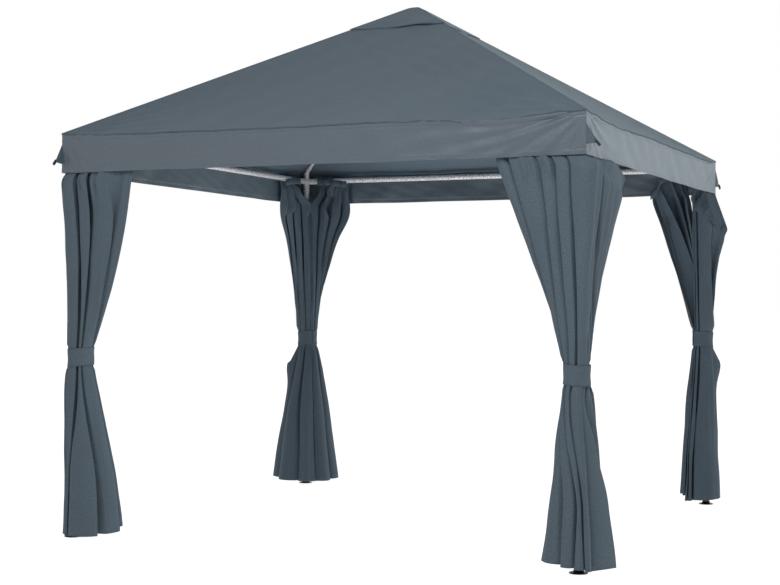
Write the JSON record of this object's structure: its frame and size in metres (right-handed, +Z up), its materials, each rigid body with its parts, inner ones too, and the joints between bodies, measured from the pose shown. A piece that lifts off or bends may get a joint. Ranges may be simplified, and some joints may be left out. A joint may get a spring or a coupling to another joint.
{
  "type": "garden gazebo",
  "caption": "Square garden gazebo on a tubular steel frame, with a hipped cloth canopy, valances, vent cap and tied corner curtains, open on every side.",
  "frame": {"origin": "middle of the plan at ground level, under the crown", "axes": "+Z up, front side towards -Y, right side towards +X"},
  "size_m": [3.2108, 3.2108, 3.0818],
  "materials": {
    "hammered_steel": "silver-grey hammered powder coat",
    "foot_plastic": "black, satin",
    "canopy_cloth": "slate-blue coated polyester",
    "curtain_cloth": "dark slate polyester, plain weave",
    "webbing": "black woven webbing"
  },
  "bodies": {
    "root": {"leg_front_left": "hammered_steel", "leg_front_right": "hammered_steel", "leg_back_right": "hammered_steel", "leg_back_left": "hammered_steel", "foot_front_left": "foot_plastic", "foot_front_right": "foot_plastic", "foot_back_right": "foot_plastic", "foot_back_left": "foot_plastic", "corner_socket_front_left": "hammered_steel", "corner_socket_front_right": "hammered_steel", "corner_socket_back_right": "hammered_steel", "corner_socket_back_left": "hammered_steel", "eave_rail_front": "hammered_steel", "eave_rail_right": "hammered_steel", "eave_rail_back": "hammered_steel", "eave_rail_left": "hammered_steel", "hip_rafter_front_left": "hammered_steel", "hip_rafter_front_right": "hammered_steel", "hip_rafter_back_right": "hammered_steel", "hip_rafter_back_left": "hammered_steel", "crown_hub": "hammered_steel", "roof_panel_front": "canopy_cloth", "roof_panel_right": "canopy_cloth", "roof_panel_back": "canopy_cloth", "roof_panel_left": "canopy_cloth", "valance_front": "canopy_cloth", "valance_right": "canopy_cloth", "valance_back": "canopy_cloth", "valance_left": "canopy_cloth", "vent_cap": "canopy_cloth", "curtain_front_left": "curtain_cloth", "curtain_front_right": "curtain_cloth", "curtain_back_right": "curtain_cloth", "curtain_back_left": "curtain_cloth", "curtain_left_front": "curtain_cloth", "curtain_right_front": "curtain_cloth", "curtain_right_back": "curtain_cloth", "curtain_left_back": "curtain_cloth", "tie_back_front_left": "curtain_cloth", "tie_back_front_right": "curtain_cloth", "tie_back_back_right": "curtain_cloth", "tie_back_back_left": "curtain_cloth", "corner_tabs": "canopy_cloth", "guy_loops": "webbing"}
  },
  "joints": []
}
